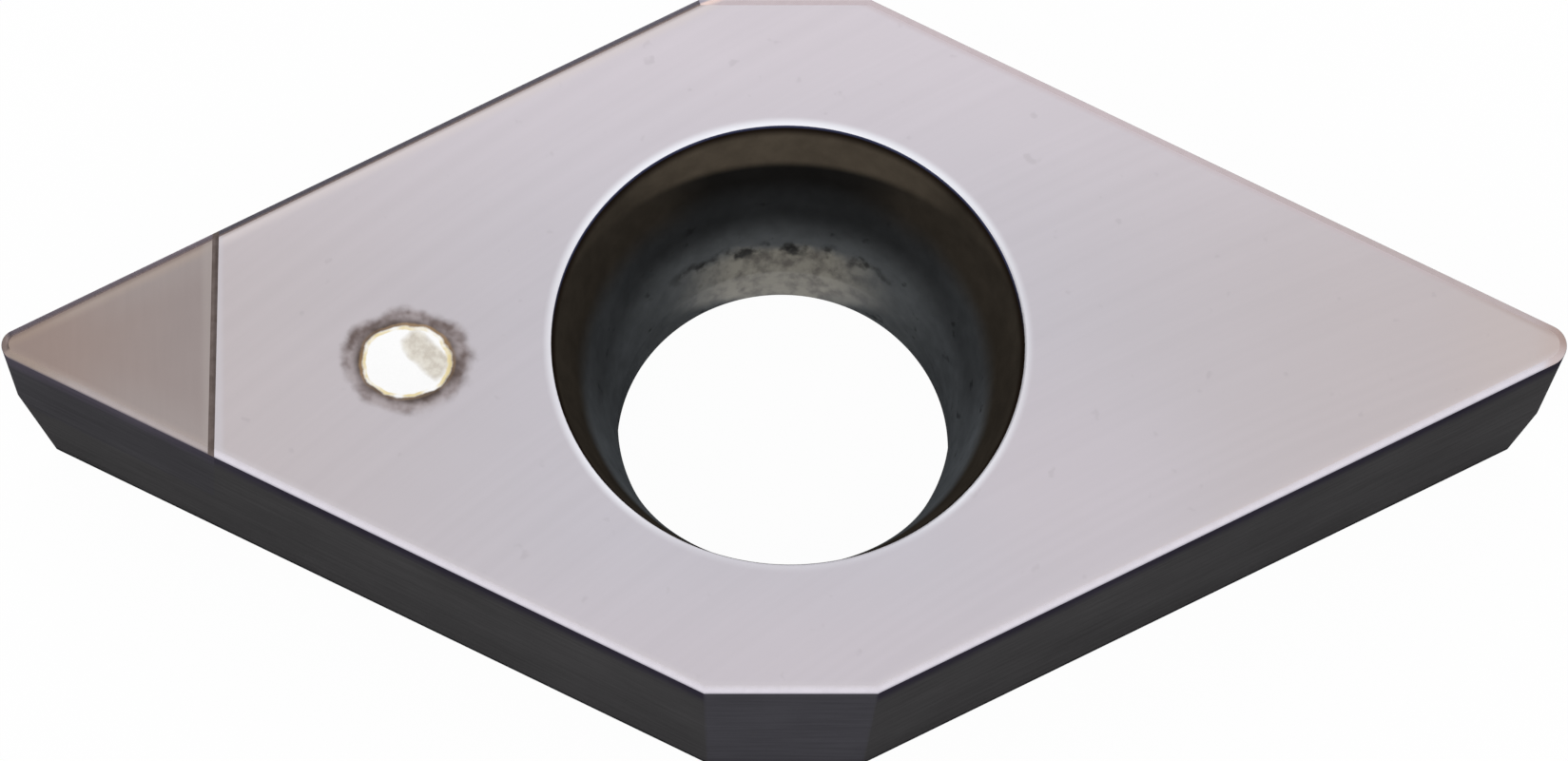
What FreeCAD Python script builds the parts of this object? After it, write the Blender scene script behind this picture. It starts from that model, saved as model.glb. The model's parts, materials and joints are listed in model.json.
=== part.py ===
import FreeCAD, Part
from FreeCAD import Vector
from math import atan2, cos, hypot, radians, sin, tan
import os

# A rhombic turning insert with one brazed cutting corner of cubic boron nitride.
# Lengths are in millimetres and angles in degrees. The seat face lies on z = 0 and the rake face
# on z = THICKNESS. The screw hole runs along z, and the cutting corner points along -x.

# Ground blank, with its outline taken at the rake face
INSCRIBED_CIRCLE = 6.35        # diameter of the circle that the four long edges touch
CORNER_ANGLE = 55.0            # between the long edges at each sharp corner
BLUNT_FLAT_DISTANCE = 3.195    # centre to the flat ground across each blunt corner
THICKNESS = 2.38
RELIEF_ANGLE = 7.0             # lean of every flank, in towards the seat face
NOSE_RADIUS = 0.15             # of the cutting corner
IDLE_RADIUS = 0.20             # of the corner that doesn't cut

# Narrow land ground along the top of every edge
LAND_WIDTH = 0.065
LAND_ANGLE = 25.0              # below the rake face

# Screw hole, from the seat face up: straight bore, curved screw seat, conical mouth
HOLE_RADIUS = 1.42
SEAT_FLARE = 0.28              # how much wider the screw seat ends than the bore
SEAT_HEIGHT = 1.00
MOUTH_FLARE = 0.32             # how much wider the mouth ends than the screw seat
MOUTH_DEPTH = 0.84

# Cutting tip: a blank of boron nitride sintered on carbide, brazed into a step of the body
TIP_LENGTH = 1.78              # along x, from the nose to the brazed joint
TIP_THICKNESS = 1.30
LAYER_THICKNESS = 0.45         # of the boron nitride alone
BRAZE_THICKNESS = 0.055
BRAZE_LEAN = 1.2               # of the joint, seen from above

# Shallow round mark in the rake face beside the tip
MARK_RADIUS = 0.36
MARK_DEPTH = 0.04
MARK_TO_MOUTH = 1.225          # along x, from the edge of the hole's mouth to the mark's middle
MARK_OFFSET = 0.158            # of its middle to the side, towards -y

OVERCUT = 1.0                  # how far a cutting solid runs past what it cuts

# Worked out from the sizes above
HALF_CORNER = radians(CORNER_ANGLE / 2)
RELIEF = tan(radians(RELIEF_ANGLE))
LAND_DROP = LAND_WIDTH / (RELIEF + 1 / tan(radians(LAND_ANGLE)))
SHARP_CORNER = INSCRIBED_CIRCLE / 2 / sin(HALF_CORNER)
SEAT_RADIUS = HOLE_RADIUS + SEAT_FLARE
MOUTH_RADIUS = SEAT_RADIUS + MOUTH_FLARE
REACH = SHARP_CORNER + OVERCUT
BLUNT_SIDES = [90, 270]
LONG_SIDES = [middle + turn for middle in BLUNT_SIDES for turn in (-CORNER_ANGLE / 2, CORNER_ANGLE / 2)]


def section_face(points):
    """A flat face in the xz plane from (x, z) points."""
    corners = [Vector(x, 0, z) for x, z in points]
    return Part.Face(Part.makePolygon(corners + corners[:1]))


def ground_side(distance, bottom):
    """The (x, z) line of a ground side, from a height up past the rake face.

    distance is from the middle to the side at the rake face, before the land is ground.
    """
    foot = distance - (THICKNESS - bottom) * RELIEF
    land_foot = (distance - LAND_DROP * RELIEF, THICKNESS - LAND_DROP)
    edge = distance - LAND_WIDTH
    return [(foot, bottom), land_foot, (edge, THICKNESS), (edge, THICKNESS + OVERCUT)]


def flank_waste(direction, distance):
    """What grinding takes off outside one flank and its land."""
    line = ground_side(distance, -OVERCUT)
    face = section_face(line + [(REACH, THICKNESS + OVERCUT), (REACH, -OVERCUT)])
    waste = face.extrude(Vector(0, 2 * REACH, 0))
    waste.translate(Vector(0, -REACH, 0))
    waste.rotate(Vector(), Vector(0, 0, 1), direction)
    return waste


def nose_waste(radius, direction):
    """What rounding takes off a sharp corner.

    The nose is a cone, because it leans in like the flanks. Where its radius runs out, the two
    flanks meet in a plain ridge down to the seat face.
    """
    apex = THICKNESS - radius / RELIEF
    plug = section_face(ground_side(radius, apex) + [(0, THICKNESS + OVERCUT)])
    plug = plug.revolve(Vector(), Vector(0, 0, 1), 360)
    bottom = max(apex, -OVERCUT)
    side = 2 * radius
    shoulder_x, shoulder_y = side * sin(HALF_CORNER), side * cos(HALF_CORNER)
    outline = [(0, 0), (shoulder_x, -shoulder_y), (side / sin(HALF_CORNER), 0), (shoulder_x, shoulder_y)]
    corners = [Vector(x, y, bottom) for x, y in outline]
    wedge = Part.Face(Part.makePolygon(corners + corners[:1]))
    waste = wedge.extrude(Vector(0, 0, THICKNESS + OVERCUT - bottom)).cut(plug)
    waste.translate(Vector((INSCRIBED_CIRCLE / 2 - radius) / sin(HALF_CORNER), 0, 0))
    waste.rotate(Vector(), Vector(0, 0, 1), direction)
    return waste


def screw_hole():
    """The bore, the curved seat that runs on smoothly into the mouth, and the conical mouth."""
    seat_top = THICKNESS - MOUTH_DEPTH
    seat_foot = seat_top - SEAT_HEIGHT
    seat_lean = atan2(SEAT_FLARE, SEAT_HEIGHT)
    mouth_lean = atan2(MOUTH_FLARE, MOUTH_DEPTH)
    bow = hypot(SEAT_FLARE, SEAT_HEIGHT) / 2 * tan((mouth_lean - seat_lean) / 2)
    middle_radius = HOLE_RADIUS + SEAT_FLARE / 2 - bow * cos(seat_lean)
    middle_height = seat_foot + SEAT_HEIGHT / 2 + bow * sin(seat_lean)
    over_radius = MOUTH_RADIUS + OVERCUT * MOUTH_FLARE / MOUTH_DEPTH
    foot = Vector(HOLE_RADIUS, 0, seat_foot)
    top = Vector(SEAT_RADIUS, 0, seat_top)
    above = [Vector(over_radius, 0, THICKNESS + OVERCUT), Vector(0, 0, THICKNESS + OVERCUT)]
    below = [Vector(0, 0, -OVERCUT), Vector(HOLE_RADIUS, 0, -OVERCUT)]
    seat = Part.Arc(foot, Vector(middle_radius, 0, middle_height), top).toShape()
    rest = Part.makePolygon([top] + above + below + [foot])
    return Part.Face(Part.Wire([seat] + rest.Edges)).revolve(Vector(), Vector(0, 0, 1), 360)


def round_mark():
    """The ball that leaves the shallow mark in the rake face."""
    ball = (MARK_RADIUS ** 2 + MARK_DEPTH ** 2) / (2 * MARK_DEPTH)
    middle = Vector(-MOUTH_RADIUS - MARK_TO_MOUTH, -MARK_OFFSET, THICKNESS - MARK_DEPTH + ball)
    return Part.makeSphere(ball, middle)


def ground_insert():
    """The whole insert as ground after brazing, before it is told apart into its pieces."""
    width = 2 * (BLUNT_FLAT_DISTANCE + OVERCUT)
    insert = Part.makeBox(2 * REACH, width, THICKNESS, Vector(-REACH, -width / 2, 0))
    for direction in LONG_SIDES:
        insert = insert.cut(flank_waste(direction, INSCRIBED_CIRCLE / 2))
    for direction in BLUNT_SIDES:
        insert = insert.cut(flank_waste(direction, BLUNT_FLAT_DISTANCE))
    insert = insert.cut(nose_waste(IDLE_RADIUS, 0))
    insert = insert.cut(nose_waste(NOSE_RADIUS, 180))
    return insert.cut(screw_hole()).cut(round_mark())


def tip_space(depth, allowance):
    """The corner of the insert on the tip's side of the joint, down to a depth below the rake face.

    allowance moves the joint away from the tip.
    """
    nose_point = SHARP_CORNER - NOSE_RADIUS / sin(HALF_CORNER) + NOSE_RADIUS
    joint = TIP_LENGTH - nose_point
    low = Vector(-REACH, -REACH, THICKNESS - depth)
    space = Part.makeBox(REACH + joint + allowance, 2 * REACH, depth + OVERCUT, low)
    space.rotate(Vector(joint, 0, 0), Vector(0, 0, 1), -BRAZE_LEAN)
    return space


def write_step(node, shape):
    """One STEP file for one piece, with its flat faces left whole."""
    piece = shape.removeSplitter()
    piece.exportStep(f"parts/{node}.step")
    print(node, round(piece.Volume, 4), "mm3")


def main():
    os.makedirs("parts", exist_ok=True)
    insert = ground_insert()
    step = tip_space(TIP_THICKNESS + BRAZE_THICKNESS, BRAZE_THICKNESS)
    blank = tip_space(TIP_THICKNESS, 0)
    layer = tip_space(LAYER_THICKNESS, 0)
    write_step("carbide_body", insert.cut(step))
    write_step("braze_film", insert.common(step).cut(blank))
    write_step("tip_backing", insert.common(blank).cut(layer))
    write_step("cbn_layer", insert.common(layer))


main()
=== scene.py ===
import json
from math import atan2, cos, degrees, hypot, pi, radians, sin, sqrt, tan

import bmesh
import bpy
from mathutils import Matrix, Quaternion, Vector, noise


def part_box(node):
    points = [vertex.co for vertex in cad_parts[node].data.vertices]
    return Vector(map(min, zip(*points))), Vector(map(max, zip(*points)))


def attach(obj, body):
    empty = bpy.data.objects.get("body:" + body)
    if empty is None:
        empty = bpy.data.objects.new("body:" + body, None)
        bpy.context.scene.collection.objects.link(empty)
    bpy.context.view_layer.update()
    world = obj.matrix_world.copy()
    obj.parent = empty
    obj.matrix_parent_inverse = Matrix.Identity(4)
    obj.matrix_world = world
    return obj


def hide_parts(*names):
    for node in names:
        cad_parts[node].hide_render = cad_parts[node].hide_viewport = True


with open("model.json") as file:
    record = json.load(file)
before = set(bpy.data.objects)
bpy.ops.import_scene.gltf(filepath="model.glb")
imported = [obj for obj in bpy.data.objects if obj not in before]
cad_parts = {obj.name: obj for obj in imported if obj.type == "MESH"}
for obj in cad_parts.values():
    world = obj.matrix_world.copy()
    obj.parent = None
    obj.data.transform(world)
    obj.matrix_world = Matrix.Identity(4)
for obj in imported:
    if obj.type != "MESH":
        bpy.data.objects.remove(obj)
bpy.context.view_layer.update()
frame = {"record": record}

# A rhombic turning insert with a brazed cutting tip, seen as in the photo. Every CAD node is
# replaced by a finer mesh of the same form. Lengths are in millimetres until a mesh is finished,
# and angles are in degrees.

MM = 0.001
SCREW_HOLE = next(mount for mount in frame["record"]["mounts"] if mount["name"] == "screw_hole")

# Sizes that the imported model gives
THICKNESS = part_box("carbide_body")[1].z / MM
FILM_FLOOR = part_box("braze_film")[0].z / MM
BLANK_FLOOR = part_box("tip_backing")[0].z / MM
LAYER_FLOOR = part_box("cbn_layer")[0].z / MM
HOLE_RADIUS = SCREW_HOLE["dims"]["r_mm"]
SEAT_FOOT = SCREW_HOLE["dims"]["length_mm"]

# Ground blank, with its outline taken at the rake face
INSCRIBED_CIRCLE = 6.35        # diameter of the circle that the four long edges touch
CORNER_ANGLE = 55.0            # between the long edges at each sharp corner
BLUNT_FLAT_DISTANCE = 3.195    # centre to the flat ground across each blunt corner
RELIEF_ANGLE = 7.0             # lean of every flank, in towards the seat face
NOSE_RADIUS = 0.15             # of the cutting corner
IDLE_RADIUS = 0.20             # of the corner that doesn't cut
LAND_WIDTH = 0.065             # narrow land ground along the top of every edge
LAND_ANGLE = 25.0              # below the rake face

# Screw hole above the bore: curved screw seat and conical mouth
SEAT_FLARE = 0.28              # how much wider the screw seat ends than the bore
SEAT_HEIGHT = 1.00
MOUTH_FLARE = 0.32             # how much wider the mouth ends than the screw seat

# Brazed joint of the tip
TIP_LENGTH = 1.78              # along x, from the nose to the joint
BRAZE_THICKNESS = 0.055
BRAZE_LEAN = 1.2               # of the joint, seen from above

# Shallow round mark in the rake face beside the tip
MARK_RADIUS = 0.36
MARK_DEPTH = 0.04
MARK_TO_MOUTH = 1.225          # along x, from the edge of the hole's mouth to the mark's middle
MARK_OFFSET = 0.158            # of its middle to the side, towards -y
SKIN_RADIUS = 0.56             # of the pitted skin round the mark
PIT_DEPTH = 0.007              # of the deeper pits in that skin
PIT_SHARE = 0.55               # the higher, the more of the skin is pitted
FLOOR_GRAIN = 0.004            # how far the grain of the mark's floor stands off
GRAIN_SCALE = 9                # grains in a millimetre, in the pits and on the floor
GRAIN_LAYERS = (0.6, 2.2, 4)   # roughness, step and number of the noise's layers

# Small roundings and hollows that the CAD leaves out
EDGE_BREAK = 0.010
LAND_BREAK = 0.005             # along both edges of the land
RIM_BREAK = 0.022
BRAZE_DIP = 0.008              # how far the braze has shrunk below the rake face
FLAT_START = 3                 # times the break, how far in from its edge a flat starts

# Number of steps in round stretches
NOSE_STEPS = 32
BLUNT_STEPS = 4
HOLE_STEPS = 192
ARC_STEPS = 14
MARK_STEPS = 96
MARK_RINGS = 8
HOLLOW_STEPS = 64
RIM_STEPS = 6

# Angles that tell the surfaces apart
GENTLE_RISE = 45.0             # a step of a profile that rises less is land, or rim of the hole
UNDER_RISE = 150.0             # one that rises more is seat face
SHARP_ANGLE = 24.0             # creases steeper than this stay crisp

# Worked out from the sizes above
HALF_CORNER = radians(CORNER_ANGLE / 2)
RELIEF = tan(radians(RELIEF_ANGLE))
LAND_DROP = LAND_WIDTH / (RELIEF + 1 / tan(radians(LAND_ANGLE)))
SHARP_CORNER = INSCRIBED_CIRCLE / 2 / sin(HALF_CORNER)
JOINT = TIP_LENGTH - NOSE_RADIUS - SHARP_CORNER + NOSE_RADIUS / sin(HALF_CORNER)
NOSE_END = JOINT - TIP_LENGTH
SEAT_RADIUS = HOLE_RADIUS + SEAT_FLARE
SEAT_TOP = SEAT_FOOT + SEAT_HEIGHT
MOUTH_RADIUS = SEAT_RADIUS + MOUTH_FLARE
MARK_X = -MOUTH_RADIUS - MARK_TO_MOUTH
MARK_Y = -MARK_OFFSET
LONG_SIDE = 90 - CORNER_ANGLE / 2
SIDES = [
    (-LONG_SIDE, INSCRIBED_CIRCLE / 2),
    (LONG_SIDE, INSCRIBED_CIRCLE / 2),
    (90, BLUNT_FLAT_DISTANCE),
    (180 - LONG_SIDE, INSCRIBED_CIRCLE / 2),
    (180 + LONG_SIDE, INSCRIBED_CIRCLE / 2),
    (270, BLUNT_FLAT_DISTANCE),
]
CORNERS = [
    (IDLE_RADIUS, NOSE_STEPS),
    (EDGE_BREAK, BLUNT_STEPS),
    (EDGE_BREAK, BLUNT_STEPS),
    (NOSE_RADIUS, NOSE_STEPS),
    (EDGE_BREAK, BLUNT_STEPS),
    (EDGE_BREAK, BLUNT_STEPS),
]

# Places in the list of sides
LOWER_RIGHT, UPPER_RIGHT, BACK, UPPER_LEFT, LOWER_LEFT, FRONT = range(6)

# Places in each piece's list of materials
RAKE, LAND, FLANK, HOLE, SEAT, MARK, JOINED = range(7)


def soften(line, reach, steps=4):
    """The line with each inner corner turned into a short curve that starts within reach of it."""
    soft = [line[0]]
    for before, corner, after in zip(line, line[1:], line[2:]):
        start = corner.lerp(before, min(reach / (before - corner).length, 0.5))
        end = corner.lerp(after, min(reach / (after - corner).length, 0.5))
        for step in range(steps + 1):
            share = step / steps
            soft.append(start.lerp(corner, share).lerp(corner.lerp(end, share), share))
    return soft + [line[-1]]


def side_profile():
    """The ground side as (inset, height) points, from the seat face up to the rake face."""
    foot = Vector((THICKNESS * RELIEF, 0))
    land_foot = Vector((LAND_DROP * RELIEF, THICKNESS - LAND_DROP))
    land_top = Vector((LAND_WIDTH, THICKNESS))
    inwards = Vector((FLAT_START * EDGE_BREAK, 0))
    low = soften([foot + inwards, foot, land_foot], EDGE_BREAK)
    profile = low[:-1] + soften([foot, land_foot, land_top, land_top + inwards], LAND_BREAK)[1:]
    for radius in (IDLE_RADIUS, NOSE_RADIUS):
        inset = radius - EDGE_BREAK
        apex = Vector((inset, THICKNESS - inset / RELIEF))
        above = next(index for index, point in enumerate(profile) if point.y > apex.y)
        profile.insert(above, apex)
    return profile


def seat_curve():
    """The curved screw seat, which runs on smoothly into the conical mouth."""
    seat_lean = atan2(SEAT_FLARE, SEAT_HEIGHT)
    mouth_lean = atan2(MOUTH_FLARE, THICKNESS - SEAT_TOP)
    foot_lean = 2 * seat_lean - mouth_lean
    bend = hypot(SEAT_FLARE, SEAT_HEIGHT) / (2 * sin(mouth_lean - seat_lean))
    points = []
    for step in range(ARC_STEPS + 1):
        lean = foot_lean + (mouth_lean - foot_lean) * step / ARC_STEPS
        across = bend * (cos(foot_lean) - cos(lean))
        up = bend * (sin(lean) - sin(foot_lean))
        points.append(Vector((HOLE_RADIUS + across, SEAT_FOOT + up)))
    return points


def hole_profile():
    """The wall of the screw hole as (radius, height) points, from the seat face up to the rake face."""
    foot = Vector((HOLE_RADIUS, 0))
    rim = Vector((MOUTH_RADIUS, THICKNESS))
    seat = seat_curve()
    outwards = Vector((FLAT_START * RIM_BREAK, 0))
    low = soften([foot + outwards, foot, seat[0], seat[1]], RIM_BREAK)
    high = soften([seat[-1], rim, rim + outwards], RIM_BREAK, RIM_STEPS)
    return low + seat[2:-1] + high


def outline(inset):
    """Points round the ground outline at the level where its sides stand in by inset.

    The nose radii shrink with the inset, as on a cone, down to a plain edge break.
    """
    points = []
    for index, (radius, steps) in enumerate(CORNERS):
        radius = max(radius - inset, EDGE_BREAK)
        turn, distance = SIDES[index]
        next_turn, next_distance = SIDES[(index + 1) % len(SIDES)]
        first = radians(turn)
        corner = radians((next_turn - turn) % 360)
        near = distance - inset - radius
        far = next_distance - inset - radius
        along = (far - near * cos(corner)) / sin(corner)
        middle = Vector((near, along))
        middle.rotate(Matrix.Rotation(first, 2))
        for step in range(steps + 1):
            angle = first + corner * step / steps
            points.append(middle + radius * Vector((cos(angle), sin(angle))))
    return points


def circle(radius, steps, middle=Vector((0, 0))):
    """Points round a circle."""
    angles = [2 * pi * step / steps for step in range(steps)]
    return [middle + radius * Vector((cos(angle), sin(angle))) for angle in angles]


def add_ring(mesh, points, height):
    """New vertices at (x, y) points and one height."""
    return [mesh.verts.new((point.x, point.y, height)) for point in points]


def join_rings(mesh, low, high, zone):
    """A band of faces between two rings with equally many vertices."""
    for index in range(len(low)):
        after = (index + 1) % len(low)
        face = mesh.faces.new((low[index], low[after], high[after], high[index]))
        face.material_index = zone


def fill_between(mesh, rings, zone):
    """Flat faces between an outer ring and the rings inside it."""
    edges = []
    for ring in rings:
        edges += [mesh.edges.get(pair) for pair in zip(ring, ring[1:] + ring[:1])]
    made = bmesh.ops.triangle_fill(mesh, use_beauty=True, edges=edges)
    for face in made["geom"]:
        if isinstance(face, bmesh.types.BMFace):
            face.material_index = zone


def slope_zone(low, high, wall):
    """The material for one step of a profile, told from how steeply it rises."""
    rise = degrees(atan2(high.y - low.y, high.x - low.x))
    if rise < LAND_ANGLE / 2:
        return RAKE
    if rise < GENTLE_RISE:
        return LAND if wall == FLANK else RAKE
    return wall if rise < UNDER_RISE else SEAT


def add_wall(mesh, profile, ring_at, wall):
    """The surface swept by a profile, and its lowest and highest ring."""
    rings = [add_ring(mesh, ring_at(point.x), point.y) for point in profile]
    steps = zip(profile, profile[1:], rings, rings[1:])
    for low, high, low_ring, high_ring in steps:
        join_rings(mesh, low_ring, high_ring, slope_zone(low, high, wall))
    return rings[0], rings[-1]


def bow_radius(half_width, depth):
    """Radius of the arc that is as deep as this across twice the half width."""
    return (half_width ** 2 + depth ** 2) / (2 * depth)


def roughened(radius, angle):
    """How far the mark's floor and the pitted skin round it stand off their plain form."""
    place = Vector((radius * cos(angle), radius * sin(angle), 0))
    grain = noise.fractal(place * GRAIN_SCALE, *GRAIN_LAYERS)
    if radius < MARK_RADIUS:
        return FLOOR_GRAIN * grain * (1 - radius / MARK_RADIUS)
    fade = (SKIN_RADIUS - radius) / (SKIN_RADIUS - MARK_RADIUS)
    return -PIT_DEPTH * fade * max(0, PIT_SHARE + grain)


def mark_height(radius, angle):
    """Height of the round mark and of the pitted skin round it."""
    ball = bow_radius(MARK_RADIUS, MARK_DEPTH)
    hollow = max(0, sqrt(ball ** 2 - min(radius, MARK_RADIUS) ** 2) - ball + MARK_DEPTH)
    return THICKNESS - hollow + roughened(radius, angle)


def add_mark(mesh):
    """The mark's hollow and the pitted skin round it. Gives the skin's outer ring."""
    middle = Vector((MARK_X, MARK_Y))
    hollow_radii = [MARK_RADIUS * (index + 1) / MARK_RINGS for index in range(MARK_RINGS)]
    skin_step = (SKIN_RADIUS - MARK_RADIUS) / MARK_RINGS
    skin_radii = [MARK_RADIUS + skin_step * (index + 1) for index in range(MARK_RINGS)]
    rings = []
    for radius in hollow_radii + skin_radii:
        ring = add_ring(mesh, circle(radius, MARK_STEPS, middle), 0)
        for index, vertex in enumerate(ring):
            vertex.co.z = mark_height(radius, 2 * pi * index / MARK_STEPS)
        rings.append(ring)
    centre = mesh.verts.new((MARK_X, MARK_Y, THICKNESS - MARK_DEPTH))
    for vertex, after in zip(rings[0], rings[0][1:] + rings[0][:1]):
        mesh.faces.new((centre, vertex, after)).material_index = MARK
    for index in range(len(rings) - 1):
        zone = MARK if index < MARK_RINGS - 1 else RAKE
        join_rings(mesh, rings[index], rings[index + 1], zone)
    return rings[-1]


def new_object(name, shape):
    """A scene object from a bmesh, still in millimetres."""
    bmesh.ops.recalc_face_normals(shape, faces=shape.faces)
    mesh = bpy.data.meshes.new(name)
    shape.to_mesh(mesh)
    shape.free()
    thing = bpy.data.objects.new(name, mesh)
    bpy.context.scene.collection.objects.link(thing)
    return thing


def whole_insert():
    """The insert in one mesh, as ground after brazing."""
    shape = bmesh.new()
    foot, edge = add_wall(shape, side_profile(), outline, FLANK)
    hole_foot, rim = add_wall(shape, hole_profile(), lambda radius: circle(radius, HOLE_STEPS), HOLE)
    mark = add_mark(shape)
    fill_between(shape, [edge, rim, mark], RAKE)
    fill_between(shape, [foot, hole_foot], SEAT)
    return new_object("whole_insert", shape)


def at_joint(height):
    """The placement of a form on the leaning line of the joint, at a height."""
    return Matrix.Translation((JOINT, 0, height)) @ Matrix.Rotation(radians(-BRAZE_LEAN), 4, "Z")


def tip_space(floor, allowance):
    """A box that holds the tip's side of the joint, down to a floor. allowance moves the joint away."""
    reach = SHARP_CORNER + 1
    low = Vector((-reach, -reach, floor))
    high = Vector((JOINT + allowance, reach, THICKNESS + 1))
    size = Matrix.Diagonal((*(high - low), 1))
    lean = at_joint(0) @ Matrix.Translation((-JOINT, 0, 0))
    shape = bmesh.new()
    bmesh.ops.create_cube(shape, size=1, matrix=Matrix.Translation((low + high) / 2) @ size)
    bmesh.ops.transform(shape, matrix=lean, verts=shape.verts)
    return new_object("tip_space", shape)


def braze_hollow():
    """A long cylinder that leaves the shallow hollow in the top of the braze."""
    radius = bow_radius(BRAZE_THICKNESS / 2, BRAZE_DIP)
    flat = Matrix.Translation((BRAZE_THICKNESS / 2, 0, 0)) @ Matrix.Rotation(pi / 2, 4, "X")
    place = at_joint(THICKNESS - BRAZE_DIP + radius) @ flat
    shape = bmesh.new()
    bmesh.ops.create_cone(shape, cap_ends=True, segments=HOLLOW_STEPS, radius1=radius, radius2=radius,
                          depth=2 * SHARP_CORNER, matrix=place)
    return new_object("braze_hollow", shape)


def cut_piece(name, base, steps):
    """A copy of the base after Booleans, which are given as (operation, tool) pairs."""
    piece = bpy.data.objects.new(name, base.data.copy())
    bpy.context.scene.collection.objects.link(piece)
    for operation, tool in steps:
        modifier = piece.modifiers.new(operation, "BOOLEAN")
        modifier.operation = operation
        modifier.solver = "EXACT"
        modifier.object = tool
    ready = piece.evaluated_get(bpy.context.evaluated_depsgraph_get())
    mesh = bpy.data.meshes.new_from_object(ready)
    piece.modifiers.clear()
    piece.data = mesh
    return piece


def cut_pieces(placeholder):
    """The four pieces of the insert, in millimetres, by the names of the nodes that they replace."""
    whole = whole_insert()
    step = tip_space(FILM_FLOOR, BRAZE_THICKNESS)
    blank = tip_space(BLANK_FLOOR, 0)
    layer = tip_space(LAYER_FLOOR, 0)
    hollow = braze_hollow()
    tools = [step, blank, layer, hollow]
    for thing in [whole] + tools:
        for _ in range(JOINED + 1):
            thing.data.materials.append(placeholder)
    for tool in tools:
        for face in tool.data.polygons:
            face.material_index = JOINED
    pieces = {
        "carbide_body": cut_piece("carbide_body", whole, [("DIFFERENCE", step)]),
        "braze_film": cut_piece("braze_film", whole,
                                [("INTERSECT", step), ("DIFFERENCE", blank), ("DIFFERENCE", hollow)]),
        "tip_backing": cut_piece("tip_backing", whole, [("INTERSECT", blank), ("DIFFERENCE", layer)]),
        "cbn_layer": cut_piece("cbn_layer", whole, [("INTERSECT", layer)]),
    }
    for thing in [whole] + tools:
        bpy.data.objects.remove(thing)
    return pieces


def srgb(red, green, blue):
    """A linear colour from the 0 to 255 values that it should show on screen."""
    shares = [value / 255 for value in (red, green, blue)]
    linear = [share / 12.92 if share <= 0.04045 else ((share + 0.055) / 1.055) ** 2.4 for share in shares]
    return (*linear, 1)


def feed(tree, socket, value):
    """Links a socket to another one, or sets its value."""
    if isinstance(value, bpy.types.NodeSocket):
        tree.links.new(value, socket)
    else:
        socket.default_value = value


def add_math(tree, operation, *values):
    """A sum, product, power or the like of plain values."""
    node = tree.nodes.new("ShaderNodeMath")
    node.operation = operation
    for socket, value in zip(node.inputs, values):
        feed(tree, socket, value)
    return node.outputs[0]


# Sockets of the Mix node when it mixes colours
MIX_SHARE = 0
MIX_FIRST = 6
MIX_SECOND = 7
MIX_RESULT = 2


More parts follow.
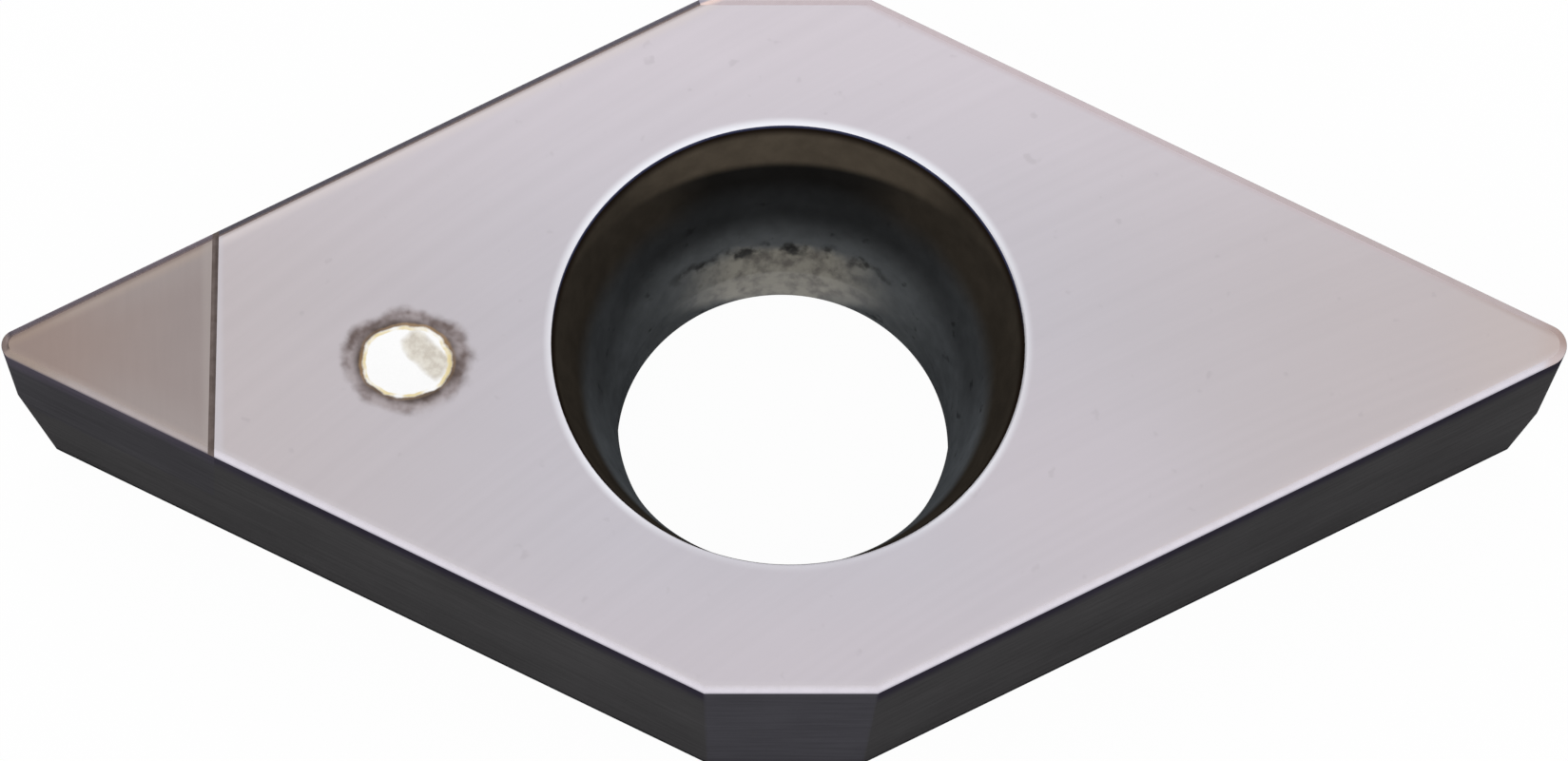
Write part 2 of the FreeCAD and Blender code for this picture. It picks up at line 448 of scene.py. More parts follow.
class Finish:
    """A procedural material on one Principled shader. Lengths in it are in millimetres."""

    def __init__(self, name, metallic, specular=0.5):
        self.material = bpy.data.materials.new(name)
        self.material.use_nodes = True
        self.tree = self.material.node_tree
        self.shader = self.tree.nodes["Principled BSDF"]
        self.shader.inputs["Metallic"].default_value = metallic
        self.shader.inputs["Specular IOR Level"].default_value = specular
        coordinates = self.tree.nodes.new("ShaderNodeTexCoord").outputs["Object"]
        self.place = self.vector("SCALE", coordinates, Scale=1 / MM)
        parts = self.tree.nodes.new("ShaderNodeSeparateXYZ")
        self.feed(parts.inputs[0], self.place)
        self.x, self.y, self.z = parts.outputs
        flat = self.tree.nodes.new("ShaderNodeCombineXYZ")
        self.feed(flat.inputs[0], self.x)
        self.feed(flat.inputs[1], self.y)
        self.flat = flat.outputs[0]

    def feed(self, socket, value):
        """Links a socket of this material to another one, or sets its value."""
        feed(self.tree, socket, value)

    def vector(self, operation, *vectors, **named):
        """A vector sum, product, length or the like."""
        node = self.tree.nodes.new("ShaderNodeVectorMath")
        node.operation = operation
        for socket, value in zip(node.inputs, vectors):
            self.feed(socket, value)
        for name, value in named.items():
            self.feed(node.inputs[name], value)
        return node.outputs["Value" if operation in ("DISTANCE", "DOT_PRODUCT") else "Vector"]

    def math(self, operation, *values):
        """A sum, product, power or the like of plain values, in this material."""
        return add_math(self.tree, operation, *values)

    def times(self, first, second):
        """A product of two plain values."""
        return self.math("MULTIPLY", first, second)

    def fade(self, value, low, high, start=0.0, end=1.0):
        """A smooth change from start to end while the value goes from low to high."""
        node = self.tree.nodes.new("ShaderNodeMapRange")
        node.interpolation_type = "SMOOTHSTEP"
        for name, given in (("Value", value), ("From Min", low), ("From Max", high),
                            ("To Min", start), ("To Max", end)):
            self.feed(node.inputs[name], given)
        return node.outputs["Result"]

    def band(self, value, low, high, soft):
        """1 between low and high, fading to 0 over a soft width outside."""
        rising = self.fade(value, low - soft, low)
        return self.times(rising, self.fade(value, high, high + soft, 1, 0))

    def blend(self, share, first, second):
        """A colour between two others. The Mix node lists its sockets for plain values first."""
        node = self.tree.nodes.new("ShaderNodeMix")
        node.data_type = "RGBA"
        for socket, value in ((MIX_SHARE, share), (MIX_FIRST, first), (MIX_SECOND, second)):
            self.feed(node.inputs[socket], value)
        return node.outputs[MIX_RESULT]

    def noise(self, scale, detail=3.0, stretch=(1, 1, 1)):
        """Cloudy noise around 0.5, with scale as the number of clouds in a millimetre."""
        node = self.tree.nodes.new("ShaderNodeTexNoise")
        self.feed(node.inputs["Vector"], self.vector("MULTIPLY", self.place, stretch))
        self.feed(node.inputs["Scale"], scale)
        self.feed(node.inputs["Detail"], detail)
        return node.outputs["Fac"]

    def spread(self, pattern, start=0.0, end=1.0):
        """Noise around 0.5 stretched so that it runs from start to end."""
        return self.fade(pattern, 0.3, 0.7, start, end)

    def wavered(self, value, reach, scale, detail=3.0):
        """The value with noise added that spans up to reach, half of it below the value."""
        centred = self.math("SUBTRACT", self.noise(scale, detail), 0.5)
        return self.math("ADD", value, self.times(centred, reach))

    def distance(self, x, y):
        """Distance from an upright axis."""
        return self.vector("DISTANCE", self.flat, (x, y, 0))

    def inside(self, side):
        """Distance in from one of the ground sides, as seen from above."""
        turn, distance = side
        towards = (cos(radians(turn)), sin(radians(turn)), 0)
        return self.math("SUBTRACT", distance, self.vector("DOT_PRODUCT", self.flat, towards))

    def shaded(self, colour, amount, pattern):
        """The colour made a little darker and lighter by a pattern around 0.5."""
        plain = colour[:3] if isinstance(colour, tuple) else colour
        factor = self.fade(pattern, 0.2, 0.8, 1 - amount, 1 + amount)
        return self.vector("SCALE", plain, Scale=factor)

    def bump(self, pattern, depth):
        """Raises the surface by a pattern, by up to depth."""
        node = self.tree.nodes.new("ShaderNodeBump")
        node.inputs["Distance"].default_value = depth * MM
        self.feed(node.inputs["Height"], pattern)
        self.feed(self.shader.inputs["Normal"], node.outputs["Normal"])

    def done(self, colour, roughness):
        """Connects the colour and the roughness, and gives the material."""
        self.feed(self.shader.inputs["Base Color"], colour)
        self.feed(self.shader.inputs["Roughness"], roughness)
        return self.material


# Wide arcs that the face grinder left, with their middle
GRIND_X = 14.0
GRIND_Y = -22.0
ARC_SCALE = 9.0                # arcs in a millimetre
ARC_DETAIL = 4.0

# Middle of the mark's colours, next to its hollow, and how they are stretched
BURN_X = MARK_X - 0.005
BURN_STRETCH = (0.93, 1.08, 1)

# Grey patch on the mark: its middle, the directions across and along it and its half sizes
GREY_X = MARK_X + 0.17
GREY_Y = MARK_Y + 0.06
GREY_ACROSS = (0.75, 0.66, 0)
GREY_ALONG = (0.66, -0.75, 0)
GREY_HALF_WIDTH = 0.13
GREY_HALF_LENGTH = 0.25

# Middle of the sheen on the rake face
SHEEN_X = 2.4
SHEEN_Y = -1.3

# Heights in the hole: the top of the worn patch with its painted highlight, and the painted shadow edge
# under the lit band of the mouth at the back
PATCH_TOP = 0.88
LIT_LINE = 1.92


def grinding_arcs(finish):
    """Fine arcs from face grinding, all round one far middle."""
    radius = finish.distance(GRIND_X, GRIND_Y)
    arcs = finish.tree.nodes.new("ShaderNodeTexNoise")
    arcs.noise_dimensions = "1D"
    finish.feed(arcs.inputs["W"], radius)
    finish.feed(arcs.inputs["Scale"], ARC_SCALE)
    finish.feed(arcs.inputs["Detail"], ARC_DETAIL)
    return arcs.outputs["Fac"]


def mark_distance(finish):
    """Distance from the middle of the mark, which is a little longer along x, with a ragged edge."""
    centred = finish.vector("SUBTRACT", finish.flat, (BURN_X, MARK_Y, 0))
    round_place = finish.vector("MULTIPLY", centred, BURN_STRETCH)
    radius = finish.vector("DISTANCE", round_place, (0, 0, 0))
    return finish.wavered(radius, 0.09, 5.0, 4.0)


def grey_patch(finish):
    """Share of the bright mark that is grey: a rounded oblong on its far right."""
    centred = finish.vector("SUBTRACT", finish.flat, (GREY_X, GREY_Y, 0))
    squared = []
    for direction, half in ((GREY_ACROSS, GREY_HALF_WIDTH), (GREY_ALONG, GREY_HALF_LENGTH)):
        share = finish.math("DIVIDE", finish.vector("DOT_PRODUCT", centred, direction), half)
        squared.append(finish.math("POWER", share, 4))
    ragged = finish.math("ADD", finish.math("ADD", *squared), finish.times(finish.noise(7.0, 4.0), 1.8))
    return finish.fade(ragged, 1.1, 2.3, 1, 0)


def smoke_ring(finish, radius, colour):
    """The colour with the mark's burnt ring, dark brown at the mark and smoky grey further out."""
    reach = finish.math("ADD", MARK_RADIUS + 0.06, finish.times(finish.noise(4.5, 4.0), 0.18))
    faded = finish.fade(finish.math("SUBTRACT", radius, reach), -0.06, 0.05, 1, 0)
    wisps = finish.fade(finish.noise(6.0, 2.5), 0.28, 0.68)
    smoke = finish.blend(wisps, srgb(108, 94, 91), srgb(176, 166, 168))
    dark_reach = finish.math("ADD", MARK_RADIUS - 0.04, finish.times(finish.noise(5.0, 3.0), 0.16))
    dark = finish.fade(finish.math("SUBTRACT", radius, dark_reach), -0.05, 0.06)
    tone = finish.blend(dark, srgb(74, 60, 54), smoke)
    return finish.blend(faded, colour, tone)


def bright_floor(finish, radius):
    """Colour of the mark's floor: white with a grey patch and a broken cream edge."""
    mottles = finish.spread(finish.noise(13.0, 3.0))
    grey = finish.blend(mottles, srgb(204, 196, 184), srgb(230, 225, 214))
    white = finish.blend(grey_patch(finish), srgb(255, 255, 255), grey)
    broken = finish.fade(finish.noise(4.0), 0.38, 0.58)
    edge = finish.band(radius, MARK_RADIUS - 0.027, MARK_RADIUS - 0.012, 0.018)
    return finish.blend(finish.times(edge, broken), white, srgb(234, 217, 168))


def mark_colours(finish, colour):
    """The mark laid over a colour: its bright floor, an uneven singed line and a smoky dark ring."""
    radius = mark_distance(finish)
    colour = smoke_ring(finish, radius, colour)
    uneven = finish.fade(finish.noise(2.5, 2.0), 0.40, 0.60, 0.15, 0.65)
    line = finish.band(radius, MARK_RADIUS + 0.002, MARK_RADIUS + 0.012, 0.024)
    colour = finish.blend(finish.times(line, uneven), colour, srgb(172, 140, 100))
    outside = finish.fade(radius, MARK_RADIUS - 0.015, MARK_RADIUS + 0.008)
    return finish.blend(outside, bright_floor(finish, radius), colour)


def long_front_inset(finish):
    """Distance in from the nearer of the two long sides that face the front."""
    return finish.math("MINIMUM", finish.inside(SIDES[LOWER_LEFT]), finish.inside(SIDES[LOWER_RIGHT]))


def front_inset(finish):
    """Distance in from the nearest of the three sides that face the front."""
    return finish.math("MINIMUM", long_front_inset(finish), finish.inside(SIDES[FRONT]))


def painted_edge_highlight(finish, colour, front_highlight_tone, far_highlight_tone):
    """The colour with a painted highlight along the front and far left edges."""
    highlight = finish.fade(front_inset(finish), LAND_WIDTH - 0.03, LAND_WIDTH + 0.06, 0.85, 0)
    colour = finish.blend(highlight, colour, front_highlight_tone)
    far = finish.fade(finish.inside(SIDES[UPPER_LEFT]), LAND_WIDTH + 0.03, LAND_WIDTH + 0.12, 0.85, 0)
    return finish.blend(far, colour, far_highlight_tone)


def painted_edge_shade(finish, colour, side, tone, reach):
    """The colour with soft painted shade on the rake face, along the land of a far side."""
    ramp = finish.fade(finish.inside(side), LAND_WIDTH - 0.01, LAND_WIDTH + reach, 0.6, 0)
    return finish.blend(ramp, colour, tone)


def rake_ground(finish, clouds, arcs):
    """The plain rake face: tones and painted light that change gently across it, a painted sheen, faint
    clouds, arcs and specks.
    """
    sideways = finish.math("ABSOLUTE", finish.x)
    near_grey = srgb(206, 199, 206)
    # Tone and painted light: warmer and darker towards both sides, lighter towards the back and in front.
    colour = finish.blend(finish.fade(sideways, 0.8, 6.0), srgb(202, 198, 206), srgb(199, 190, 192))
    colour = finish.blend(finish.fade(finish.y, 0.2, 3.2, 0, 0.85), colour, srgb(220, 212, 219))
    colour = finish.blend(finish.fade(finish.y, -1.6, -3.0, 0, 0.85), colour, near_grey)
    # Painted sheen: a broad painted reflection to the right of the hole.
    sheen = finish.fade(finish.distance(SHEEN_X, SHEEN_Y), 0.2, 1.6, 0.8, 0)
    colour = finish.blend(sheen, colour, near_grey)
    colour = finish.shaded(colour, 0.025, clouds)
    colour = finish.shaded(colour, 0.014, arcs)
    specks = finish.fade(finish.noise(5.5, 2.0), 0.68, 0.76)
    colour = finish.blend(finish.times(specks, 0.18), colour, srgb(160, 152, 158))
    colour = finish.blend(finish.fade(finish.x, 5.3, 6.4, 0, 0.6), colour, srgb(203, 190, 187))
    return finish.blend(finish.fade(finish.x, 6.30, 6.60, 0, 0.6), colour, srgb(199, 181, 175))


def rake_edges(finish, colour):
    """The colour with painted highlights and painted shade along the ground edges of the rake face."""
    front_highlight_tone = finish.blend(finish.fade(finish.x, 1.5, 5.0), srgb(215, 209, 214), srgb(213, 203, 204))
    colour = painted_edge_highlight(finish, colour, front_highlight_tone, srgb(221, 212, 213))
    colour = painted_edge_shade(finish, colour, SIDES[UPPER_LEFT], srgb(128, 110, 104), 0.035)
    far_right_shade = finish.blend(finish.fade(finish.x, 5.0, 6.6), srgb(205, 189, 193), srgb(176, 156, 150))
    return painted_edge_shade(finish, colour, SIDES[UPPER_RIGHT], far_right_shade, 0.06)


def painted_rim_highlight(finish, colour):
    """The colour with a painted highlight ring round the hole, weakest at its sides and in front."""
    ring = finish.band(finish.distance(0, 0), MOUTH_RADIUS, MOUTH_RADIUS + 0.01, 0.075)
    ring = finish.times(ring, finish.fade(finish.math("ABSOLUTE", finish.y), 0.2, 1.6, 0.5, 0.88))
    ring = finish.times(ring, finish.fade(finish.y, -2.0, -1.3, 0.25, 1))
    return finish.blend(ring, colour, srgb(247, 248, 255))


def rake_finish():
    """Ground and thinly coated carbide: satin lavender grey with painted light across it, painted
    highlights and shade along its edges, round the hole and beside the joint, and the mark's burnt ring.
    """
    finish = Finish("ground_rake_face", metallic=0.6)
    clouds = finish.noise(0.9, 4.0, (1, 1.4, 1))
    arcs = grinding_arcs(finish)
    colour = rake_ground(finish, clouds, arcs)
    colour = painted_rim_highlight(finish, rake_edges(finish, colour))
    joint_edge = JOINT + BRAZE_THICKNESS
    # Painted highlight on the body beside the joint.
    joint_highlight = finish.fade(finish.x, joint_edge + 0.02, joint_edge + 0.08, 0.55, 0)
    colour = finish.blend(joint_highlight, colour, srgb(210, 206, 213))
    colour = mark_colours(finish, colour)
    finish.bump(arcs, 0.0006)
    return finish.done(colour, finish.spread(clouds, 0.40, 0.46))


def land_highlight_and_shade(finish, outer_shade_tone, highlight_tone, inner_tone):
    """Colour across a land in front: painted shade at its outer edge and a painted highlight beside that.
    """
    inset = front_inset(finish)
    colour = finish.blend(finish.fade(inset, 0.0, 0.025), outer_shade_tone, highlight_tone)
    return finish.blend(finish.fade(inset, 0.03, 0.075), colour, inner_tone)


def lay_upper_left(finish, colour, outer_shade_tone, inner_tone):
    """The colour with the land of the far left side laid over it, with painted shade at its outer edge
    and a painted highlight at its inner edge.
    """
    inset = finish.inside(SIDES[UPPER_LEFT])
    tone = finish.blend(finish.fade(inset, 0.034, 0.064), outer_shade_tone, inner_tone)
    return finish.blend(finish.fade(inset, LAND_WIDTH + 0.01, LAND_WIDTH + 0.06, 1, 0), colour, tone)


def land_finish():
    """Ground land along the edges of the body: a painted highlight in front, painted shade behind, and
    browner at the idle nose.
    """
    finish = Finish("ground_land", metallic=1.0)
    nicks = finish.noise(14.0, 3.0)
    highlight = land_highlight_and_shade(finish, srgb(160, 157, 168), srgb(221, 216, 225), srgb(209, 203, 209))
    # Painted shade on the land at the back, deeper towards the right; browner at the idle nose.
    far = finish.blend(finish.fade(finish.x, 2.5, 5.5), srgb(199, 186, 190), srgb(188, 175, 176))
    far = finish.blend(finish.fade(finish.x, 6.3, 6.65), far, srgb(172, 151, 145))
    highlight = finish.blend(finish.fade(finish.x, 6.40, 6.53, 0, 0.75), highlight, srgb(196, 178, 174))
    colour = finish.blend(finish.fade(finish.y, -0.12, 0.05), highlight, far)
    colour = lay_upper_left(finish, colour, srgb(163, 157, 171), srgb(236, 212, 206))
    colour = finish.shaded(colour, 0.03, nicks)
    finish.bump(nicks, 0.0005)
    return finish.done(colour, 0.20)


def on_front_flat(finish):
    """1 on the ground flat in front, 0 on the long flanks beside it."""
    lead = finish.math("SUBTRACT", long_front_inset(finish), finish.inside(SIDES[FRONT]))
    return finish.fade(lead, -0.01, 0.01)


def flank_colour(finish, edge_tone, tone):
    """Charcoal coating that changes a little below the edge, with painted shade darkening it to the foot.
    """
    depth = finish.math("SUBTRACT", THICKNESS, finish.z)
    depth = finish.wavered(depth, 0.08, 3.0)
    colour = finish.blend(finish.fade(depth, 0.08, 0.40), edge_tone, tone)
    colour = finish.blend(on_front_flat(finish), colour, srgb(65, 64, 69))
    # Painted shade darkening the flank towards the foot, where it meets the floor.
    return finish.blend(finish.fade(finish.z, 0.10, 0.03), colour, srgb(36, 36, 38))


def flank_finish(name, edge_tone, tone):
    """Coated flank of the body or the tip, with faint lines along it from side grinding."""
    finish = Finish(name, metallic=0.0, specular=0.0)
    near_joint = finish.fade(finish.x, JOINT - 0.7, JOINT + 0.2, 0, 0.7)
    near_joint = finish.times(near_joint, finish.fade(finish.x, JOINT + 0.1, JOINT + 0.9, 1, 0))
    edge_tone = finish.blend(near_joint, edge_tone, srgb(54, 51, 61))
    colour = flank_colour(finish, edge_tone, tone)
    lines = finish.noise(11.0, 3.0, (0.12, 0.12, 1.6))
    colour = finish.shaded(colour, 0.10, lines)
    colour = finish.shaded(colour, 0.08, finish.noise(1.3, 4.0))
    finish.bump(lines, 0.0015)
    return finish.done(colour, 0.5)


def worn_highlight_patch(finish):
    """Share of the worn shiny crescent at the back of the hole with its painted highlight, and the ragged
    height it goes by.
    """
    aside = finish.math("ABSOLUTE", finish.x)
    back = finish.fade(finish.y, 0.5, 1.0)
    level = finish.wavered(finish.z, 0.30, 4.0, 4.0)
    below_top = finish.fade(level, PATCH_TOP - 0.06, PATCH_TOP + 0.10, 1, 0)
    foot = finish.times(finish.math("POWER", aside, 2), 0.55)
    above_foot = finish.fade(finish.math("SUBTRACT", level, foot), -0.20, 0.10)
    share = finish.times(finish.times(below_top, above_foot), back)
    return finish.times(share, finish.fade(aside, 0.35, 1.05, 1, 0)), level


def mouth_colour(finish, around):
    """The dark brown mouth of the hole, with painted shade darker at the back, a painted lit band at the
    back above a painted shadow edge, painted shade just below the rim, and a bluish rim.
    """
    # Painted shade: darker towards the back of the mouth.
    colour = finish.blend(finish.fade(around, 0.78, 0.97), srgb(51, 46, 40), srgb(27, 26, 25))
    # Painted light: a lit band high on the back wall, its lower edge a painted shadow of the near rim.
    lit_edge = finish.math("ADD", LIT_LINE, finish.times(finish.math("SUBTRACT", 1, around), 0.50))
    lit = finish.fade(finish.math("SUBTRACT", finish.z, lit_edge), -0.04, 0.06)
    lit = finish.times(lit, finish.fade(around, 0.66, 0.90, 0.18, 1))
    colour = finish.blend(lit, colour, srgb(80, 72, 62))
    # Painted shade just below the rim.
    rim_shade = finish.fade(finish.z, THICKNESS - 0.14, THICKNESS - 0.04)
    colour = finish.blend(rim_shade, colour, srgb(30, 23, 18))
    fringe = finish.fade(finish.z, THICKNESS - 0.045, THICKNESS - 0.012)
    fringe = finish.times(fringe, finish.fade(around, 0.0, 0.4, 0, 0.8))
    return finish.blend(fringe, colour, srgb(66, 72, 104))


def seat_colour(finish, around):
    """The blue-grey screw seat, with painted light: lighter towards its foot and on its near side, darker
    at the back.
    """
    far = finish.blend(finish.fade(finish.z, 1.40, 0.88), srgb(44, 45, 46), srgb(99, 102, 104))
    beside = finish.blend(finish.fade(finish.z, 1.25, 0.80), srgb(60, 62, 64), srgb(80, 83, 86))
    colour = finish.blend(finish.fade(around, 0.3, 0.9), beside, far)
    near = finish.fade(around, 0.15, -0.40, 0, 0.8)
    return finish.blend(near, colour, srgb(92, 96, 100))


def worn_highlight_and_specks(finish, colour, patch, level):
    """The colour with the worn patch and its painted highlight, mottled by pits, and dark specks along
    its top.
    """
    pits = finish.fade(finish.noise(8.0, 3.0, (1, 1, 0.6)), 0.30, 0.62)
    worn_highlight_tone = finish.blend(pits, srgb(82, 78, 73), srgb(121, 118, 109))
    colour = finish.blend(patch, colour, worn_highlight_tone)
    specks = finish.fade(finish.noise(6.0, 3.0, (1, 1, 0.8)), 0.45, 0.66)
    specks = finish.times(specks, finish.fade(finish.y, 1.0, 1.4))
    near_top = finish.band(level, PATCH_TOP - 0.02, PATCH_TOP + 0.02, 0.12)
    return finish.blend(finish.times(specks, near_top), colour, srgb(34, 33, 32))


def hole_finish():
    """Wall of the screw hole, with painted light and shade round it, a worn metallic patch at the back
    with a painted highlight, and dark specks above it.
    """
    finish = Finish("hole_wall", metallic=0.0, specular=0.0)
    around = finish.math("DIVIDE", finish.y, finish.distance(0, 0))
    clouds = finish.noise(2.2, 4.0)
    join = finish.math("ADD", finish.z, finish.times(clouds, 0.12))
    above_seat = finish.fade(join, SEAT_TOP - 0.02, SEAT_TOP + 0.32)
    colour = finish.blend(above_seat, seat_colour(finish, around), mouth_colour(finish, around))
    colour = finish.shaded(colour, 0.12, clouds)
    colour = finish.shaded(colour, 0.10, finish.noise(7.0, 3.0))
    dots = finish.fade(finish.noise(6.5, 2.0), 0.64, 0.80, 0, 0.7)
    dots = finish.times(dots, finish.fade(above_seat, 0.0, 0.5, 1, 0))
    colour = finish.blend(dots, colour, srgb(30, 30, 31))
    patch, level = worn_highlight_patch(finish)
    colour = worn_highlight_and_specks(finish, colour, patch, level)
    finish.bump(clouds, 0.01)
    # The worn patch is also metallic, so part of its highlight is a real reflection.
    finish.feed(finish.shader.inputs["Metallic"], patch)
    return finish.done(colour, 0.45)


def mark_finish():
    """The mark's bright floor."""
    finish = Finish("bright_mark", metallic=0.0)
    colour = mark_colours(finish, srgb(112, 98, 103))
    grain = finish.noise(20.0, 3.0)
    finish.bump(grain, 0.003)
    return finish.done(colour, finish.spread(grain, 0.35, 0.6))


def seat_finish():
    """Ground underside of the body."""
    finish = Finish("ground_seat_face", metallic=0.6)
    arcs = grinding_arcs(finish)
    colour = finish.shaded(srgb(150, 147, 152), 0.08, arcs)
    finish.bump(arcs, 0.002)
    return finish.done(colour, 0.4)


def near_nose(finish):
    """1 near the nose of the tip, fading to 0 further in."""
    return finish.fade(finish.x, NOSE_END + 0.20, NOSE_END + 0.80, 1, 0)


def tip_top_finish():
    """Boron nitride on the rake face: warm grey, browner towards the nose, with painted highlights along
    its edges and beside the joint and painted shade along the far left edge.
    """
    finish = Finish("boron_nitride_top", metallic=0.0, specular=0.4)
    inwards = finish.fade(finish.x, NOSE_END + 0.20, JOINT)
    colour = finish.blend(inwards, srgb(150, 132, 125), srgb(152, 140, 138))
    inset = finish.math("MINIMUM", finish.inside(SIDES[UPPER_LEFT]), front_inset(finish))
    border = finish.fade(inset, 0.10, 0.45, 0.5, 0)
    border = finish.times(border, finish.fade(finish.x, NOSE_END + 0.50, NOSE_END + 1.30))
    colour = finish.blend(border, colour, srgb(161, 151, 149))
    front_highlight_tone = finish.blend(near_nose(finish), srgb(170, 157, 153), srgb(161, 143, 134))
    far_highlight_tone = finish.blend(near_nose(finish), srgb(168, 153, 145), srgb(159, 140, 129))
    colour = painted_edge_highlight(finish, colour, front_highlight_tone, far_highlight_tone)
    colour = painted_edge_shade(finish, colour, SIDES[UPPER_LEFT], srgb(112, 93, 88), 0.045)
    # Painted highlight on the tip beside the joint.
    joint_highlight = finish.fade(finish.x, JOINT - 0.10, JOINT - 0.02, 0, 0.5)
    colour = finish.blend(joint_highlight, colour, srgb(168, 158, 155))
    lines = finish.noise(13.0, 3.0, (1.6, 0.12, 1))
    grain = finish.noise(30.0, 2.0)
    colour = finish.shaded(colour, 0.015, lines)
    colour = finish.shaded(colour, 0.03, finish.noise(1.4, 4.0))
    finish.bump(grain, 0.0008)
    return finish.done(colour, 0.45)


def tip_land_finish():
    """Ground land along the tip's edges, with a painted highlight and painted shade across it."""
    finish = Finish("boron_nitride_land", metallic=1.0)
    nicks = finish.noise(14.0, 3.0)
    highlight = finish.blend(near_nose(finish), srgb(177, 167, 167), srgb(160, 145, 136))
    inner = finish.blend(near_nose(finish), srgb(166, 155, 151), srgb(161, 144, 135))
    colour = land_highlight_and_shade(finish, srgb(104, 98, 107), highlight, inner)
    colour = lay_upper_left(finish, colour, srgb(198, 184, 197), srgb(240, 214, 212))
    on_nose = finish.fade(finish.x, NOSE_END + 0.03, NOSE_END + 0.09, 1, 0)
    colour = finish.blend(on_nose, colour, srgb(156, 139, 134))
    colour = finish.shaded(colour, 0.03, nicks)
    finish.bump(nicks, 0.0005)
    finish.feed(finish.shader.inputs["Metallic"], finish.fade(on_nose, 0, 1, 1.0, 0.4))
    return finish.done(colour, 0.20)


def braze_finish():
    """Dull brown braze."""
    finish = Finish("braze_top", metallic=0.5, specular=0.3)
    grain = finish.noise(12.0, 4.0)
    colour = finish.blend(finish.spread(grain), srgb(96, 84, 80), srgb(112, 100, 97))
    finish.bump(grain, 0.002)
    return finish.done(colour, 0.45)


def backing_finish():
    """Bare ground carbide on the hidden faces of the joint."""
    finish = Finish("bare_carbide", metallic=0.7)
    lines = finish.noise(10.0, 3.0, (1, 0.15, 0.15))
    colour = finish.shaded(srgb(112, 111, 116), 0.10, lines)
    finish.bump(lines, 0.002)
    return finish.done(colour, 0.45)


def piece_finishes():
    """The materials of each piece, in the order of the zones."""
    rake, land, hole = rake_finish(), land_finish(), hole_finish()
    seat, mark, bare = seat_finish(), mark_finish(), backing_finish()
    body_flank = flank_finish("coated_flank", srgb(43, 40, 50), srgb(61, 60, 61))
    tip_flank = flank_finish("tip_flank", srgb(71, 67, 76), srgb(60, 59, 62))
    braze, tip_top, tip_land = braze_finish(), tip_top_finish(), tip_land_finish()
    return {
        "carbide_body": [rake, land, body_flank, hole, seat, mark, bare],
        "braze_film": [braze, braze, tip_flank, bare, bare, bare, braze],
        "tip_backing": [bare, bare, tip_flank, bare, bare, bare, bare],
        "cbn_layer": [tip_top, tip_land, tip_flank, bare, bare, bare, tip_top],
    }


def dress_pieces():
    """Cuts, finishes and hangs the four pieces on the frame."""
    finishes = piece_finishes()
    for node, piece in cut_pieces(finishes["carbide_body"][RAKE]).items():
        piece.name = node + "_finish"
        for index, material in enumerate(finishes[node]):
            piece.data.materials[index] = material
        piece.data.transform(Matrix.Scale(MM, 4))
        piece.data.shade_smooth()
        piece.data.set_sharp_from_angle(angle=radians(SHARP_ANGLE))
        normals = piece.modifiers.new("even_shading", "WEIGHTED_NORMAL")
        normals.keep_sharp = True
        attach(piece, "root")
        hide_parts(node)


# Studio
FLOOR_HALF = 1.5               # metres
FLOOR_DROP = 0.002             # millimetres, so that the floor and the seat face don't share a plane
FLOOR_SHADOW = 0.03            # share of the real shading that shows on the white floor
FLOOR_TONE = (0.95, 0.95, 0.95, 1)
FLOOR_ROUGHNESS = 0.9
WORLD_LEVEL = 0.91             # brightness of the room as it lights the object
KEY_LEVEL = 0.9                # brightness of the lamp's face
KEY_SIZE = 0.35                # metres
KEY_PLACE = Vector((-0.25, -0.30, 0.45))               # metres
DARK_CARD = Vector((-0.72, 0.56, 0.41)).normalized()   # where a dark card shows in reflections
DARK_CARD_REACH = 36.0         # half the angle that the card fills
DARK_CARD_SOFT = 5.0
DARK_CARD_SHARE = 0.86         # of the light that it takes away


def seen_directly(tree):
    """1 for camera, glossy and transmission rays, and 0 for the rays that light the object."""
    path = tree.nodes.new("ShaderNodeLightPath")
    total = path.outputs["Is Camera Ray"]
    for name in ("Is Glossy Ray", "Is Transmission Ray"):
        total = add_math(tree, "MAXIMUM", total, path.outputs[name])
    return total


def dark_card(tree):
    """How much of the light a far dark card takes, by direction, in reflections alone."""
    toward = tree.nodes.new("ShaderNodeVectorMath")
    toward.operation = "DOT_PRODUCT"
    tree.links.new(tree.nodes.new("ShaderNodeTexCoord").outputs["Generated"], toward.inputs[0])
    toward.inputs[1].default_value = DARK_CARD
    card = tree.nodes.new("ShaderNodeMapRange")
    card.interpolation_type = "SMOOTHSTEP"
    tree.links.new(toward.outputs["Value"], card.inputs["Value"])
    card.inputs["From Min"].default_value = cos(radians(DARK_CARD_REACH + DARK_CARD_SOFT))
    card.inputs["From Max"].default_value = cos(radians(DARK_CARD_REACH))
    card.inputs["To Max"].default_value = DARK_CARD_SHARE
    reflected = tree.nodes.new("ShaderNodeLightPath").outputs["Is Glossy Ray"]
    return add_math(tree, "MULTIPLY", card.outputs["Result"], reflected)


def make_world():
    """A white room, a little dimmer as it lights the object than as it is seen, with a dark card."""
    world = bpy.data.worlds.new("studio")
    bpy.context.scene.world = world
    world.use_nodes = True
    tree = world.node_tree
    level = tree.nodes.new("ShaderNodeMapRange")
    tree.links.new(seen_directly(tree), level.inputs["Value"])
    level.inputs["To Min"].default_value = WORLD_LEVEL
    left = add_math(tree, "SUBTRACT", level.outputs["Result"], dark_card(tree))
    tree.links.new(left, tree.nodes["Background"].inputs["Strength"])
    tree.nodes["Background"].inputs["Color"].default_value = (1, 1, 1, 1)


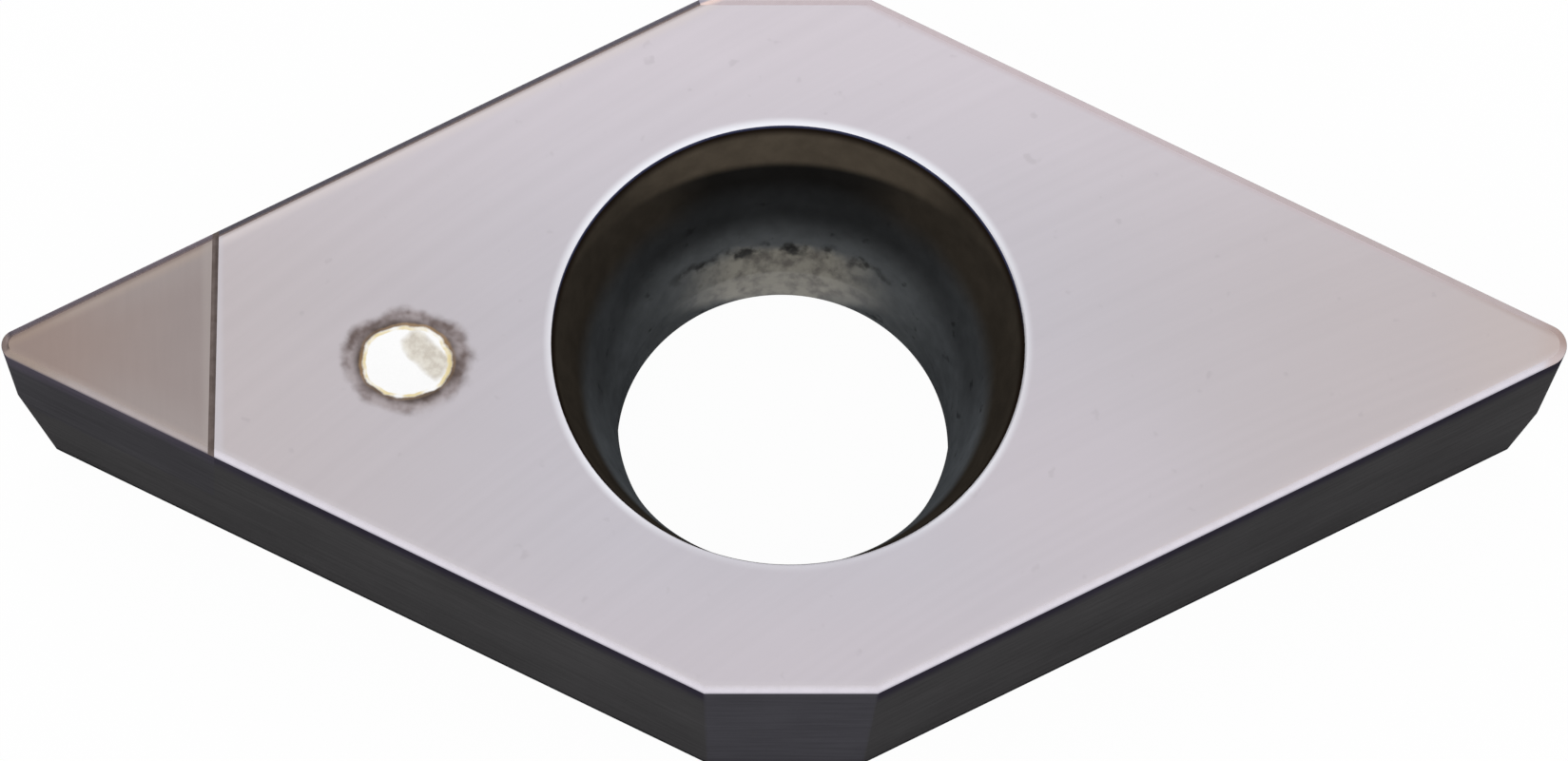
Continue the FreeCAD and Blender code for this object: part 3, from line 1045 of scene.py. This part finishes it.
def make_floor():
    """A white floor that keeps a faint shadow."""
    shape = bmesh.new()
    bmesh.ops.create_grid(shape, size=FLOOR_HALF, matrix=Matrix.Translation((0, 0, -FLOOR_DROP * MM)))
    floor = new_object("floor", shape)
    material = bpy.data.materials.new("floor")
    material.use_nodes = True
    tree = material.node_tree
    shader = tree.nodes["Principled BSDF"]
    shader.inputs["Base Color"].default_value = FLOOR_TONE
    shader.inputs["Roughness"].default_value = FLOOR_ROUGHNESS
    shader.inputs["Specular IOR Level"].default_value = 0
    glow = tree.nodes.new("ShaderNodeEmission")
    share = add_math(tree, "MULTIPLY", seen_directly(tree), 1 - FLOOR_SHADOW)
    both = tree.nodes.new("ShaderNodeMixShader")
    tree.links.new(share, both.inputs[0])
    tree.links.new(shader.outputs[0], both.inputs[1])
    tree.links.new(glow.outputs[0], both.inputs[2])
    tree.links.new(both.outputs[0], tree.nodes["Material Output"].inputs["Surface"])
    floor.data.materials.append(material)


def make_lamp():
    """A square soft lamp that faces the object and isn't seen in it."""
    light = bpy.data.lights.new("key_lamp", "AREA")
    light.size = KEY_SIZE
    light.energy = pi * KEY_SIZE ** 2 * KEY_LEVEL
    lamp = bpy.data.objects.new("key_lamp", light)
    lamp.location = KEY_PLACE
    lamp.rotation_mode = "QUATERNION"
    lamp.rotation_quaternion = (-KEY_PLACE).to_track_quat("-Z", "Y")
    lamp.visible_glossy = False
    bpy.context.scene.collection.objects.link(lamp)


# Camera, from a fit to the photo's edges
AIM = Vector((-0.0372, -0.3345, THICKNESS))
CAMERA_DISTANCE = 258.58
CAMERA_AZIMUTH = -3.309
CAMERA_ELEVATION = 67.873
CAMERA_ROLL = 3.076
LENS = 697.49
SENSOR_WIDTH = 36.0
NEAR_CLIP = 0.001              # metres
FAR_CLIP = 10                  # metres


def make_camera():
    """The photo's view: from above the front, far off, through a long lens."""
    azimuth, elevation = radians(CAMERA_AZIMUTH), radians(CAMERA_ELEVATION)
    back = Vector((sin(azimuth) * cos(elevation), -cos(azimuth) * cos(elevation), sin(elevation)))
    data = bpy.data.cameras.new("camera")
    data.lens = LENS
    data.sensor_width = SENSOR_WIDTH
    data.clip_start = NEAR_CLIP
    data.clip_end = FAR_CLIP
    camera = bpy.data.objects.new("camera", data)
    camera.location = (AIM + back * CAMERA_DISTANCE) * MM
    camera.rotation_mode = "QUATERNION"
    roll = Quaternion((0, 0, 1), radians(CAMERA_ROLL))
    camera.rotation_quaternion = (-back).to_track_quat("-Z", "Y") @ roll
    bpy.context.scene.collection.objects.link(camera)
    bpy.context.scene.camera = camera


bpy.context.scene.view_settings.view_transform = "Standard"
make_world()
make_floor()
make_lamp()
make_camera()
dress_pieces()
